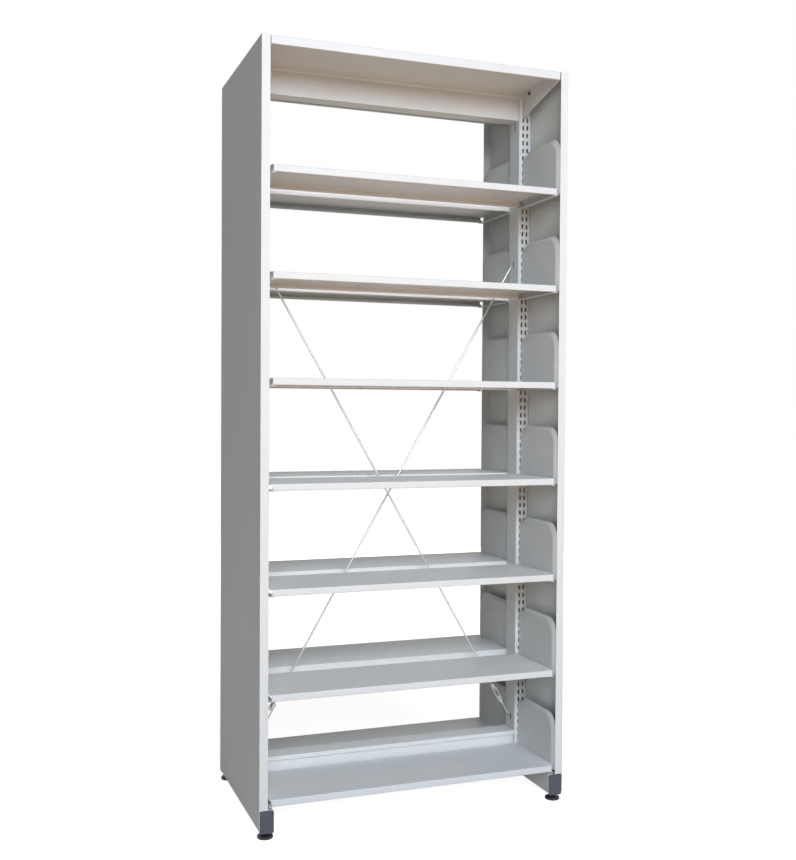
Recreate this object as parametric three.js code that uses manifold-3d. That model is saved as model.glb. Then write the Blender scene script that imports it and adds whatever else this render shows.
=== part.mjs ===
// Double sided library shelving: one free-standing bay of folded sheet steel.
// Millimetres, +Z up, +X to the right and +Y to the rear. The origin is on the floor under the middle.
// Every shelf hangs on brackets whose hooks drop behind the slots of the two uprights.

import * as THREE from 'three';
import { mergeGeometries, mergeVertices } from 'three/addons/utils/BufferGeometryUtils.js';
import Module from 'manifold-3d';

const wasm = await Module();
wasm.setup();

// Clearances
const SEAM = 0.3; // between pieces that touch
const SHELF_END_GAP = 1.2; // shelf end to bracket plate
const SHELF_REAR_GAP = 1; // shelf and canopy rear edge to post face
const FRONT_SETBACK = 1.5; // shelf front behind the panel flange
const RIM_GAP = 1; // bracket rim behind the shelf front
const CANOPY_END_GAP = 2.5; // canopy end to panel flange
const CUT_PAST = 5; // how far a cutter runs past the face that it cuts

// Shelves, canopies and their levels
const SHELF_LENGTH = 907;
const SHELF_DEPTH = 245;
const SHELF_SHEET = 1.2;
const SHELF_LIP = 20;
const LIP_RETURN = 14; // front lip folded back under the shelf
const LIP_HEM = 8; // and up again
const REAR_HEM = 10; // rear lip folded up on its inside
const REAR_HEM_WIDTH = 3.4;
const CANOPY_LIP = 25;
const CANOPY_REAR_LIP = 22;
const ADJUSTABLE_TIERS = 6;
const SLOT_PITCH = 25;
const SLOTS_PER_TIER = 12;
const BASE_SHELF_RISE = 30; // base shelf top above the base legs
const TOP_TIER_HEIGHT = 360; // top shelf to the top of the canopy

// Uprights: a slotted box post welded on a base leg
const POST_WIDTH = 41.5;
const POST_DEPTH = 70;
const TUBE_WALL = 2;
const TUBE_CORNER = 2.5;
const LEG_HEIGHT = 60;
const POST_TOP_DROP = 4; // post top below the panel top
const SLOT_WIDTH = 6;
const SLOT_HEIGHT = 14;
const SLOT_INSET = 14.2; // slot column from the post's bay side
const SLOT_OVER_SHELF = 20; // a slot's middle above each shelf top

// Hooks, the same on brackets, gussets and beams
const HOOK_NECK = 6;
const HOOK_DROP = 7;
const HOOK_THICK = 4;

// Side panels
const PANEL_SHEET = 1.2;
const PANEL_FLANGE = 25;
const PANEL_RISE = 6; // panel's lower edge above the underside of the leg
const FLANGE_CLEAR = 2; // front and rear flanges end this far above the leg

// Feet and leg caps
const FOOT_GAP = 22; // floor to the underside of the leg
const FOOT_INSET = 22; // foot axis behind the panel front
const FOOT_RADIUS = 23;
const FOOT_PAD = 9;
const FOOT_COLLAR_RADIUS = 8;
const FOOT_STEM_RADIUS = 5;
const FOOT_STEM_REACH = 34; // stem above the underside of the leg
const FOOT_HOLE_GAP = 0.7;
const FOOT_SIDES = 12;
const FOOT_HOLE_SIDES = 8;
const CAP_HEAD = 5;
const CAP_DROP = 4; // cap head below the underside of the leg
const CAP_BEVEL = 1.5;
const CAP_TO_STEM = 2; // the plug ends this far short of the foot's stem
const CAP_WALL = 2.5;

// Shelf brackets
const BRACKET_SHEET = 2;
const BRACKET_RISE = 160; // bracket top above the shelf top
const BRACKET_CORNER = 48; // large rounded corner at the top front
const BRACKET_CORNER_STEPS = 2; // an arc takes two facets for each
const BRACKET_REAR_RUN = 34; // rear top corner slopes down over this depth
const BRACKET_REAR_FALL = 10;
const BRACKET_FRONT_CUT = 6; // cut lower front corner
const RIM_TOP = 10; // turned-out rim along the top, measured in the plate's plane
const RIM_FRONT = 20; // and along the front
const RIM_REACH = 7.8; // out from the plate
const LEDGE_WIDTH = 15; // flange under the shelf
const LEDGE_SETBACK = 4; // flange starts behind the shelf's front edge
const LEDGE_REAR_GAP = 1; // and ends under its rear hem
const BRACKET_HOOK_ROWS = [4, -1]; // slots used, counted up from the one just over the shelf

// Canopy gussets
const GUSSET_SHEET = 2;
const GUSSET_HEIGHT = 86;
const GUSSET_HOOKS = 2;

// Beams
const BEAM_HEIGHT = 87;
const BEAM_WIDTH = 56;
const BEAM_CAP_WIDTH = 70;
const BEAM_CAP_HEIGHT = 13;
const BEAM_SHEET = 2;
const BEAM_HOOKS_BELOW = [33, 58]; // slot middles below the beam's top
const BOTTOM_BEAM_RISE = 42; // bottom beam's top above the base shelf top

// Cross brace
const BRACE_TOP = 1700;
const BRACE_BOTTOM = 204;
const ROD_RADIUS = 3;
const ROD_SIDES = 6;
const ROD_OFFSET = 3.7; // each rod's axis from the middle plane, so that they pass
const ROD_LEAD = 9; // straight run out of the post before the bend
const ROD_HOOK_DROP = 14; // hooked end behind the post wall
const ROD_HOOK_BEND = 4;
const ROD_LEAD_BEND = 6;
const ROD_BEND_STEPS = 2;
const TIE_SLOT_WIDTH = 12;
const TIE_SLOT_HEIGHT = 24;
const SPARE_TIE_BELOW_BEAM = 8; // unused tie slot under the top beam
const TURNBUCKLE_LENGTH = 72;
const TURNBUCKLE_FROM_POST = 49; // along the rod
const TURNBUCKLE_NUT = 13;
const TURNBUCKLE_NUT_RADIUS = 8.5;
const TURNBUCKLE_BORE_GAP = 0.5;
const TURNBUCKLE_BAR_RADIUS = 2.2;
const TURNBUCKLE_BAR_AT = 6.2;
const TURNBUCKLE_BAR_SIDES = 6;
const TURNBUCKLE_SIDES = 8;
const THREAD_REACH = 12; // rod ends past the nuts

// Places across the width, on the right of the bay
const plateX = SHELF_LENGTH / 2 + SHELF_END_GAP;
const slotX = plateX + BRACKET_SHEET / 2;
const postInX = slotX - SLOT_INSET;
const postMidX = postInX + POST_WIDTH / 2;
const postOutX = postInX + POST_WIDTH;
const panelX = postOutX + SEAM + PANEL_SHEET;
const flangeX = panelX - PANEL_FLANGE;

// Places along the depth, from the middle to the front
const postFront = POST_DEPTH / 2;
const shelfRear = postFront + SHELF_REAR_GAP;
const shelfFront = shelfRear + SHELF_DEPTH;
const panelFront = shelfFront + FRONT_SETBACK;
const legEnd = panelFront - CAP_HEAD - SEAM;
const footY = panelFront - FOOT_INSET;
const plugEnd = footY + FOOT_STEM_RADIUS + CAP_TO_STEM;
const beamWallY = (BEAM_WIDTH - BEAM_SHEET) / 2;

// Heights
const legTop = FOOT_GAP + LEG_HEIGHT;
const legMid = FOOT_GAP + LEG_HEIGHT / 2;
const baseTop = legTop + BASE_SHELF_RISE;
const shelfPitch = SLOTS_PER_TIER * SLOT_PITCH;
const topShelf = baseTop + ADJUSTABLE_TIERS * shelfPitch;
const panelTop = topShelf + TOP_TIER_HEIGHT;
const postTop = panelTop - POST_TOP_DROP;
const topBeamTop = postTop;
const bottomBeamTop = baseTop + BOTTOM_BEAM_RISE;
const firstSlot = baseTop + SLOT_OVER_SHELF - SLOT_PITCH;
const slotRows = Math.floor((postTop - SLOT_HEIGHT - firstSlot) / SLOT_PITCH) + 1;
const lastSlot = firstSlot + (slotRows - 1) * SLOT_PITCH;
const shelfUnder = -SHELF_LIP; // below each shelf's top
const ledgeTop = shelfUnder - SEAM;
const bracketFoot = ledgeTop - BRACKET_SHEET;

const paint = new THREE.MeshStandardMaterial({ color: 0xeceeed, roughness: 0.45, metalness: 0 });
const greyPlastic = new THREE.MeshStandardMaterial({ color: 0x55555c, roughness: 0.55, metalness: 0 });
const blackPlastic = new THREE.MeshStandardMaterial({ color: 0x1b1b1d, roughness: 0.5, metalness: 0 });
const zinc = new THREE.MeshStandardMaterial({ color: 0xb9bcc0, roughness: 0.35, metalness: 1 });

// Shape helpers

function shapeOf(points) {
  return new THREE.Shape(points.map(([a, b]) => new THREE.Vector2(a, b)));
}

function prism(shape, length) {
  return new THREE.ExtrudeGeometry(shape, { depth: length, bevelEnabled: false });
}

// Turns a local (x, y, z) into the unit's (Y, Z, X).
const SIDE_ON = new THREE.Matrix4().makeBasis(
  new THREE.Vector3(0, 1, 0), new THREE.Vector3(0, 0, 1), new THREE.Vector3(1, 0, 0));

// The shape's (x, y) are the unit's (Y, Z), drawn out along X from x0 to x1.
function alongX(shape, x0, x1) {
  return prism(shape, x1 - x0).applyMatrix4(SIDE_ON).translate(x0, 0, 0);
}

// The shape's (x, y) are the unit's (X, Z), drawn out along Y from y0 to y1.
function alongY(shape, y0, y1) {
  return prism(shape, y1 - y0).rotateX(Math.PI / 2).translate(0, y1, 0);
}

// The shape's (x, y) are the unit's (X, Y), drawn out along Z from z0 to z1.
function alongZ(shape, z0, z1) {
  return prism(shape, z1 - z0).translate(0, 0, z0);
}

function box(x0, x1, y0, y1, z0, z1) {
  const block = new THREE.BoxGeometry(x1 - x0, y1 - y0, z1 - z0);
  return block.translate((x0 + x1) / 2, (y0 + y1) / 2, (z0 + z1) / 2);
}

function rectangle(x, y, width, height) {
  const [a, b] = [width / 2, height / 2];
  return shapeOf([[x - a, y - b], [x + a, y - b], [x + a, y + b], [x - a, y + b]]);
}

// A rectangle with its corners cut
function easedRectangle(x, y, width, height, cut) {
  const [a, b] = [width / 2, height / 2];
  return shapeOf([
    [x - a + cut, y - b], [x + a - cut, y - b], [x + a, y - b + cut], [x + a, y + b - cut],
    [x + a - cut, y + b], [x - a + cut, y + b], [x - a, y + b - cut], [x - a, y - b + cut]]);
}

function tubeShape(x, y, width, height) {
  const shape = easedRectangle(x, y, width, height, TUBE_CORNER);
  shape.holes.push(rectangle(x, y, width - 2 * TUBE_WALL, height - 2 * TUBE_WALL));
  return shape;
}

// Points of a line set off to its left by a distance, with mitred corners.
function offsetLine(points, distance) {
  return points.map((point, i) => {
    const before = points[Math.max(i - 1, 0)];
    const after = points[Math.min(i + 1, points.length - 1)];
    const legs = [[before, point], [point, after]].filter(([p, q]) => p !== q);
    const normals = legs.map(([p, q]) => new THREE.Vector2(p[1] - q[1], q[0] - p[0]).normalize());
    const mitre = normals.reduce((sum, normal) => sum.add(normal), new THREE.Vector2()).normalize();
    const reach = distance / mitre.dot(normals[normals.length - 1].clone().normalize());
    return [point[0] + mitre.x * reach, point[1] + mitre.y * reach];
  });
}

// A folded sheet's section: a face line and the same line set off by the sheet's thickness.
function sheetShape(points, sheet) {
  return shapeOf([...points, ...offsetLine(points, sheet).reverse()]);
}

// A solid through flat lines with the same count of points, given in order round its section.
// Each line lies at its own height across the plane.
function loft(lines, across) {
  const [count, length] = [lines.length, lines[0].length];
  const positions = [];
  for (let i = 0; i < length; i += 1) {
    lines.forEach((line, j) => positions.push(line[i][0], line[i][1], across[j]));
  }
  const index = [];
  for (let i = 0; i + 1 < length; i += 1) {
    for (let j = 0; j < count; j += 1) {
      const [a, b] = [i * count + j, i * count + (j + 1) % count];
      index.push(a, b, a + count, b, b + count, a + count);
    }
  }
  const last = (length - 1) * count;
  for (let j = 1; j + 1 < count; j += 1) {
    index.push(0, j + 1, j, last, last + j, last + j + 1);
  }
  const geometry = new THREE.BufferGeometry();
  geometry.setAttribute('position', new THREE.Float32BufferAttribute(positions, 3));
  geometry.setIndex(index);
  return faceOut(geometry);
}

// A section of (off, across) points swept along a flat line: off is in the line's plane, to its left.
function sweep(points, section) {
  return loft(section.map(([off]) => offsetLine(points, off)), section.map(([, across]) => across));
}

function polygon(radius, sides) {
  return Array.from({ length: sides }, (_, i) => {
    const angle = (i + 0.5) * 2 * Math.PI / sides;
    return [radius * Math.cos(angle), radius * Math.sin(angle)];
  });
}

function volumeOf(geometry) {
  const place = geometry.getAttribute('position');
  const corners = [0, 1, 2].map(() => new THREE.Vector3());
  let volume = 0;
  for (let i = 0; i < geometry.index.count; i += 3) {
    corners.forEach((corner, k) => corner.fromBufferAttribute(place, geometry.index.getX(i + k)));
    volume += corners[0].dot(corners[1].clone().cross(corners[2])) / 6;
  }
  return volume;
}

function faceOut(geometry) {
  if (volumeOf(geometry) < 0) {
    const index = geometry.index;
    for (let i = 0; i < index.count; i += 3) {
      const second = index.getX(i + 1);
      index.setX(i + 1, index.getX(i + 2));
      index.setX(i + 2, second);
    }
  }
  return geometry;
}

function bare(geometry) {
  const copy = geometry.clone();
  const extra = Object.keys(copy.attributes).filter((name) => name !== 'position');
  extra.forEach((name) => copy.deleteAttribute(name));
  return mergeVertices(copy, 1e-4);
}

function mirrored(geometry, x, y) {
  return faceOut(bare(geometry).scale(x, y, 1));
}

function solid(geometry) {
  const clean = bare(geometry);
  const mesh = new wasm.Mesh({
    numProp: 3,
    vertProperties: new Float32Array(clean.getAttribute('position').array),
    triVerts: new Uint32Array(clean.index.array),
  });
  return new wasm.Manifold(mesh);
}

function geometryOf(body) {
  const mesh = body.getMesh();
  const geometry = new THREE.BufferGeometry();
  geometry.setAttribute('position', new THREE.BufferAttribute(mesh.vertProperties, 3));
  geometry.setIndex(new THREE.BufferAttribute(mesh.triVerts, 1));
  return geometry;
}

function joined(geometries) {
  return geometries.map(solid).reduce((sum, part) => sum.add(part));
}

// Several separate blocks as one cutter
function cutters(geometries) {
  return solid(mergeGeometries(geometries.map(bare)));
}

// Hooks: the neck fills the lower part of a slot and the tongue drops behind the wall.
// The points run from the upper root to the lower root, as (reach past the root, height).
function hookPoints(slotMiddle, rootGap) {
  const seat = slotMiddle - SLOT_HEIGHT / 2 + SEAM;
  const inside = rootGap + TUBE_WALL + SEAM;
  const tip = inside + HOOK_THICK;
  return [
    [0, seat + HOOK_NECK], [tip, seat + HOOK_NECK], [tip, seat - HOOK_DROP], [inside, seat - HOOK_DROP],
    [inside, seat], [0, seat]];
}

// Uprights

function slotBox(x0, x1, y0, y1, middle) {
  return box(x0, x1, y0, y1, middle - SLOT_HEIGHT / 2, middle + SLOT_HEIGHT / 2);
}

function shelfSlots() {
  const [half, reach] = [SLOT_WIDTH / 2, postFront + CUT_PAST];
  return Array.from({ length: slotRows }, (_, row) => {
    return slotBox(slotX - half, slotX + half, -reach, reach, firstSlot + row * SLOT_PITCH);
  });
}

function beamSlots() {
  const half = SLOT_WIDTH / 2;
  return [topBeamTop, bottomBeamTop].flatMap((top) => BEAM_HOOKS_BELOW.flatMap((below) => {
    return [-beamWallY, beamWallY].map((y) => {
      return slotBox(postInX - CUT_PAST, postInX + CUT_PAST, y - half, y + half, top - below);
    });
  }));
}

function tieSlots() {
  const half = TIE_SLOT_WIDTH / 2;
  const spare = topBeamTop - BEAM_HEIGHT - SPARE_TIE_BELOW_BEAM - TIE_SLOT_HEIGHT;
  const upper = BRACE_TOP - ROD_RADIUS - SEAM;
  const lower = BRACE_BOTTOM + ROD_RADIUS + SEAM - TIE_SLOT_HEIGHT;
  return [[spare, 0], [upper, ROD_OFFSET], [lower, -ROD_OFFSET]].map(([bottom, y]) => {
    return box(postInX - CUT_PAST, postInX + CUT_PAST, y - half, y + half, bottom, bottom + TIE_SLOT_HEIGHT);
  });
}

function footHoles() {
  const radius = FOOT_STEM_RADIUS + FOOT_HOLE_GAP;
  return [-footY, footY].map((y) => {
    const drill = new THREE.CylinderGeometry(radius, radius, 2 * CUT_PAST, FOOT_HOLE_SIDES);
    return drill.rotateX(Math.PI / 2).translate(postMidX, y, FOOT_GAP);
  });
}

function uprightGeometry() {
  const post = alongZ(tubeShape(postMidX, 0, POST_WIDTH, POST_DEPTH), legTop - TUBE_WALL / 2, postTop);
  const leg = alongY(tubeShape(postMidX, legMid, POST_WIDTH, LEG_HEIGHT), -legEnd, legEnd);
  const cuts = cutters([...shelfSlots(), ...beamSlots(), ...tieSlots(), ...footHoles()]);
  return geometryOf(joined([post, leg]).subtract(cuts));
}

// Side panels

function panelGeometry() {
  const line = [[flangeX, panelFront], [panelX, panelFront], [panelX, -panelFront], [flangeX, -panelFront]];
  const bottom = FOOT_GAP + PANEL_RISE;
  const tray = alongZ(sheetShape(line, -PANEL_SHEET), bottom, panelTop);
  const inset = PANEL_SHEET / 2;
  const topFront = panelFront - inset;
  const top = box(flangeX, panelX - inset, -topFront, topFront, panelTop - PANEL_SHEET, panelTop);
  const legCuts = [-panelFront, panelFront].map((y) => {
    return box(flangeX - CUT_PAST, panelX - PANEL_SHEET, y - CUT_PAST, y + CUT_PAST,
      bottom - CUT_PAST, legTop + FLANGE_CLEAR);
  });
  return geometryOf(joined([tray, top]).subtract(cutters(legCuts)));
}

// Leg caps and feet

function capGeometry() {
  const front = -panelFront;
  const [headWidth, headHeight] = [POST_WIDTH - 2 * CAP_BEVEL, LEG_HEIGHT + CAP_DROP - 2 * CAP_BEVEL];
  const head = new THREE.ExtrudeGeometry(
    rectangle(postMidX, legMid - CAP_DROP / 2, headWidth, headHeight),
    { depth: CAP_HEAD - 2 * CAP_BEVEL, bevelThickness: CAP_BEVEL, bevelSize: CAP_BEVEL, bevelSegments: 1 });
  head.rotateX(Math.PI / 2).translate(0, front + CAP_HEAD - CAP_BEVEL, 0);
  const [width, height] = [POST_WIDTH, LEG_HEIGHT].map((size) => size - 2 * TUBE_WALL - 2 * SEAM);
  const ring = rectangle(postMidX, legMid, width, height);
  ring.holes.push(rectangle(postMidX, legMid, width - 2 * CAP_WALL, height - 2 * CAP_WALL));
  const plug = alongY(ring, front + CAP_HEAD / 2, -plugEnd);
  return geometryOf(joined([head, plug]));
}

function footGeometry() {
  const collarTop = FOOT_GAP - SEAM;
  const shoulder = (2 * FOOT_PAD + collarTop) / 3;
  const stemTop = FOOT_GAP + FOOT_STEM_REACH;
  const profile = [
    [0, 0], [FOOT_RADIUS, 0], [FOOT_RADIUS, FOOT_PAD], [FOOT_COLLAR_RADIUS, shoulder],
    [FOOT_COLLAR_RADIUS, collarTop], [FOOT_STEM_RADIUS, collarTop], [FOOT_STEM_RADIUS, stemTop],
    [0, stemTop]];
  const turned = new THREE.LatheGeometry(profile.map(([r, z]) => new THREE.Vector2(r, z)), FOOT_SIDES);
  return turned.rotateX(Math.PI / 2);
}

// Shelves: one folded sheet. The front lip turns under and up again, the rear lip ends in a hem.
// The top is at height 0.

function foldedSheet(lip, rearLip, halfLength) {
  const [front, rear] = [-shelfFront, -shelfRear];
  const hem = rear - REAR_HEM_WIDTH;
  const line = [
    [front + LIP_RETURN, LIP_HEM - lip], [front + LIP_RETURN, -lip], [front, -lip], [front, 0],
    [rear, 0], [rear, -rearLip], [hem, -rearLip], [hem, REAR_HEM - rearLip]];
  return alongX(sheetShape(line, -SHELF_SHEET), -halfLength, halfLength);
}

// Brackets: a hooked plate, a rim turned outwards along its free edge and a ledge that carries the shelf.
// This is the right-hand one, with the shelf's top at height 0.

// The free edge from its lower front to its top rear, or a line alongside it.
function rimLine(front, foot, top, rear) {
  const line = new THREE.Path();
  line.moveTo(front, foot);
  line.lineTo(front, top - BRACKET_CORNER);
  line.absarc(front + BRACKET_CORNER, top - BRACKET_CORNER, BRACKET_CORNER, Math.PI, Math.PI / 2, true);
  line.lineTo(rear, top);
  return line.getPoints(BRACKET_CORNER_STEPS).map((point) => [point.x, point.y]);
}

const plateFront = RIM_FRONT + RIM_GAP - shelfFront;
const plateTop = BRACKET_RISE - RIM_TOP;
const plateEdge = rimLine(
  plateFront, bracketFoot + BRACKET_FRONT_CUT, plateTop, -shelfRear - BRACKET_REAR_RUN);
const rimEdge = rimLine(
  plateFront - RIM_FRONT, bracketFoot + 2 * BRACKET_FRONT_CUT, BRACKET_RISE,
  RIM_TOP - shelfRear - BRACKET_REAR_RUN);

function bracketOutline() {
  const rear = -shelfRear;
  const hooks = BRACKET_HOOK_ROWS.flatMap((row) => {
    return hookPoints(SLOT_OVER_SHELF + row * SLOT_PITCH, SHELF_REAR_GAP);
  });
  return shapeOf([
    ...plateEdge, [rear, plateTop - BRACKET_REAR_FALL], ...hooks.map(([reach, z]) => [rear + reach, z]),
    [rear, bracketFoot], [plateFront + BRACKET_FRONT_CUT, bracketFoot]]);
}

function bracketSolid() {
  const plate = solid(alongX(bracketOutline(), plateX, plateX + BRACKET_SHEET));
  const across = [0, RIM_REACH - BRACKET_SHEET, RIM_REACH, BRACKET_SHEET].map((reach) => plateX + reach);
  const rim = solid(loft([plateEdge, rimEdge, rimEdge, plateEdge], across).applyMatrix4(SIDE_ON));
  const [ledgeFront, ledgeRear] = [LEDGE_SETBACK - shelfFront, -LEDGE_REAR_GAP - shelfRear];
  const ledge = solid(box(plateX - LEDGE_WIDTH, plateX, ledgeFront, ledgeRear, bracketFoot, ledgeTop));
  return plate.add(rim).add(ledge);
}

// The base shelf and its two brackets are fixed together.
function baseShelfGeometry(right, left) {
  const shelf = foldedSheet(SHELF_LIP, SHELF_LIP, plateX + BRACKET_SHEET / 2);
  return geometryOf(joined([shelf, right, left]));
}

// Canopies: a folded sheet with a hooked gusset under each end. The top is at height 0.

function gussetGeometry() {
  const [front, rear] = [SHELF_SHEET / 2 - shelfFront, -shelfRear];
  const top = -SHELF_SHEET / 2;
  const hooks = Array.from({ length: GUSSET_HOOKS }, (_, i) => {
    return hookPoints(lastSlot - i * SLOT_PITCH - panelTop, SHELF_REAR_GAP);
  }).flat();
  const outline = shapeOf([
    [front, top], [rear, top], ...hooks.map(([reach, z]) => [rear + reach, z]), [rear, -GUSSET_HEIGHT],
    [front, -CANOPY_LIP]]);
  return alongX(outline, slotX - GUSSET_SHEET / 2, slotX + GUSSET_SHEET / 2);
}

function canopyGeometry() {
  const gusset = gussetGeometry();
  const cover = foldedSheet(CANOPY_LIP, CANOPY_REAR_LIP, flangeX - CANOPY_END_GAP);
  return geometryOf(joined([cover, gusset, mirrored(gusset, -1, 1)]));
}

// Beams: a hollow section with a wider top, and two hooks in each wall at each end. The top is at height 0.

function beamSection(inset) {
  const [wide, narrow] = [BEAM_CAP_WIDTH / 2 - inset, BEAM_WIDTH / 2 - inset];
  const [top, step, bottom] = [-inset, inset - BEAM_CAP_HEIGHT, inset - BEAM_HEIGHT];
  return shapeOf([
    [-wide, top], [-wide, step], [-narrow, step], [-narrow, bottom], [narrow, bottom], [narrow, step],
    [wide, step], [wide, top]]);
}

function beamGeometry() {
  const end = postInX - SEAM;
  const section = beamSection(0);
  section.holes.push(beamSection(BEAM_SHEET));
  const tube = alongX(section, -end, end);
  const hooks = BEAM_HOOKS_BELOW.flatMap((below) => [-beamWallY, beamWallY].flatMap((y) => {
    const points = hookPoints(-below, SEAM).map(([reach, z]) => [end + (reach || -BEAM_SHEET), z]);
    const hook = alongY(shapeOf(points), y - BEAM_SHEET / 2, y + BEAM_SHEET / 2);
    return [hook, mirrored(hook, -1, 1)];
  }));
  return geometryOf(joined([tube, ...hooks]));
}

// Cross brace, drawn in the plane of one rod: (x, y) here are the unit's (X, Z)

const braceTop = new THREE.Vector2(ROD_LEAD - postInX, BRACE_TOP);
const braceEnd = new THREE.Vector2(postInX - ROD_LEAD, BRACE_BOTTOM);
const braceAlong = braceEnd.clone().sub(braceTop).normalize();
const hookRodX = postInX + TUBE_WALL + SEAM + ROD_RADIUS;
const turnbuckleMiddle = fromBraceEnd(TURNBUCKLE_FROM_POST + TURNBUCKLE_LENGTH / 2);

function fromBraceEnd(distance) {
  return braceEnd.clone().addScaledVector(braceAlong, -distance);
}

// A rod from its hooked tip behind the post wall, out through the tie slot and along the brace.
function hookedRod(side, height, tipTurn, corner, along, end) {
  const tipX = side * hookRodX;
  const line = new THREE.Path();
  line.moveTo(tipX, height + tipTurn * ROD_HOOK_DROP);
  line.lineTo(tipX, height + tipTurn * ROD_HOOK_BEND);
  line.quadraticCurveTo(tipX, height, tipX - side * ROD_HOOK_BEND, height);
  line.lineTo(corner.x + side * ROD_LEAD_BEND, height);
  const leave = corner.clone().addScaledVector(along, ROD_LEAD_BEND);
  line.quadraticCurveTo(corner.x, corner.y, leave.x, leave.y);
  line.lineTo(end.x, end.y);
  const points = line.getPoints(ROD_BEND_STEPS).map((point) => [point.x, point.y]);
  const rod = sweep(points, polygon(ROD_RADIUS, ROD_SIDES));
  return rod.rotateX(Math.PI / 2).translate(0, -ROD_OFFSET, 0);
}

function braceRodGeometry() {
  const end = fromBraceEnd(TURNBUCKLE_FROM_POST + TURNBUCKLE_LENGTH - TURNBUCKLE_NUT - THREAD_REACH);
  return hookedRod(-1, BRACE_TOP, -1, braceTop, braceAlong, end);
}

function braceHookGeometry() {
  const end = fromBraceEnd(TURNBUCKLE_FROM_POST + TURNBUCKLE_NUT + THREAD_REACH);
  return hookedRod(1, BRACE_BOTTOM, 1, braceEnd, braceAlong.clone().negate(), end);
}

// An open body: two nuts held apart by two bars, along Z and centred on its own middle.
function turnbuckleGeometry() {
  const half = TURNBUCKLE_LENGTH / 2;
  const bore = ROD_RADIUS + TURNBUCKLE_BORE_GAP;
  const nuts = [half - TURNBUCKLE_NUT, -half].map((bottom) => {
    const [top, outer] = [bottom + TURNBUCKLE_NUT, TURNBUCKLE_NUT_RADIUS];
    const ring = [[bore, bottom], [outer, bottom], [outer, top], [bore, top], [bore, bottom]];
    const nut = new THREE.LatheGeometry(ring.map(([r, z]) => new THREE.Vector2(r, z)), TURNBUCKLE_SIDES);
    return nut.rotateX(Math.PI / 2);
  });
  const barLength = TURNBUCKLE_LENGTH - TURNBUCKLE_NUT;
  const bars = [-1, 1].map((side) => {
    const bar = new THREE.CylinderGeometry(
      TURNBUCKLE_BAR_RADIUS, TURNBUCKLE_BAR_RADIUS, barLength, TURNBUCKLE_BAR_SIDES);
    return bar.rotateX(Math.PI / 2).translate(side * TURNBUCKLE_BAR_AT, 0, 0);
  });
  return geometryOf(joined([...nuts, ...bars]));
}

// Assembly. The unit looks the same from the rear as from the front, so one half is built twice,
// as it stands and turned half round.

const bracketRight = geometryOf(bracketSolid());
const bracketLeft = mirrored(bracketRight, -1, 1);
const frontCap = capGeometry();
const parts = {
  upright: uprightGeometry(),
  panel: panelGeometry(),
  foot: footGeometry(),
  caps: [frontCap, mirrored(frontCap, 1, -1)],
  shelf: foldedSheet(SHELF_LIP, SHELF_LIP, SHELF_LENGTH / 2),
  baseShelf: baseShelfGeometry(bracketRight, bracketLeft),
  canopy: canopyGeometry(),
  beam: beamGeometry(),
  rod: braceRodGeometry(),
  hook: braceHookGeometry(),
  turnbuckle: turnbuckleGeometry(),
};

function place(group, name, geometry, material, x = 0, y = 0, z = 0) {
  const mesh = new THREE.Mesh(geometry, material);
  mesh.name = name;
  mesh.position.set(x, y, z);
  group.add(mesh);
  return mesh;
}

function halfUnit(angle, near, far, hand, otherHand) {
  const group = new THREE.Group();
  group.rotation.z = angle;
  place(group, `${hand}_upright`, parts.upright, paint);
  place(group, `${hand}_side_panel`, parts.panel, paint);
  [near, far].forEach((end, i) => {
    place(group, `${hand}_${end}_leg_cap`, parts.caps[i], greyPlastic);
    place(group, `${hand}_${end}_foot`, parts.foot, blackPlastic, postMidX, i === 0 ? -footY : footY, 0);
  });
  place(group, `${near}_canopy`, parts.canopy, paint, 0, 0, panelTop);
  place(group, `${near}_base_shelf`, parts.baseShelf, paint, 0, 0, baseTop);
  for (let tier = 1; tier <= ADJUSTABLE_TIERS; tier += 1) {
    const top = baseTop + tier * shelfPitch;
    place(group, `${near}_shelf_${tier}`, parts.shelf, paint, 0, 0, top);
    place(group, `${near}_${hand}_bracket_${tier}`, bracketRight, paint, 0, 0, top);
    place(group, `${near}_${otherHand}_bracket_${tier}`, bracketLeft, paint, 0, 0, top);
  }
  place(group, `${otherHand}_top_brace_rod`, parts.rod, zinc);
  place(group, `${hand}_brace_hook`, parts.hook, zinc);
  const turnbuckle = place(group, `${hand}_turnbuckle`, parts.turnbuckle, zinc,
    turnbuckleMiddle.x, -ROD_OFFSET, turnbuckleMiddle.y);
  turnbuckle.rotation.y = Math.atan2(braceAlong.x, braceAlong.y);
  return group;
}

const shelving = new THREE.Group();
shelving.add(halfUnit(0, 'front', 'rear', 'right', 'left'));
shelving.add(halfUnit(Math.PI, 'rear', 'front', 'left', 'right'));
place(shelving, 'top_beam', parts.beam, paint, 0, 0, topBeamTop);
place(shelving, 'bottom_beam', parts.beam, paint, 0, 0, bottomBeamTop);

export default shelving;
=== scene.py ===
# %% [markdown]
# # Double sided library shelving
#
# The object is one free-standing bay of library shelving in powder-coated sheet steel. Two slotted uprights carry
# seven shelves on each side, and side panels, canopies, beams and a crossed pair of rods make it one stiff frame.
#
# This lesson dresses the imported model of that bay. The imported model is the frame: each of its nodes stays where it
# is, and each piece made here rides on one of its bodies, so that lifting a shelf or turning a foot still works.

# %% Load the frame
import math

import bmesh
import bpy
from mathutils import Matrix, Vector


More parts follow.
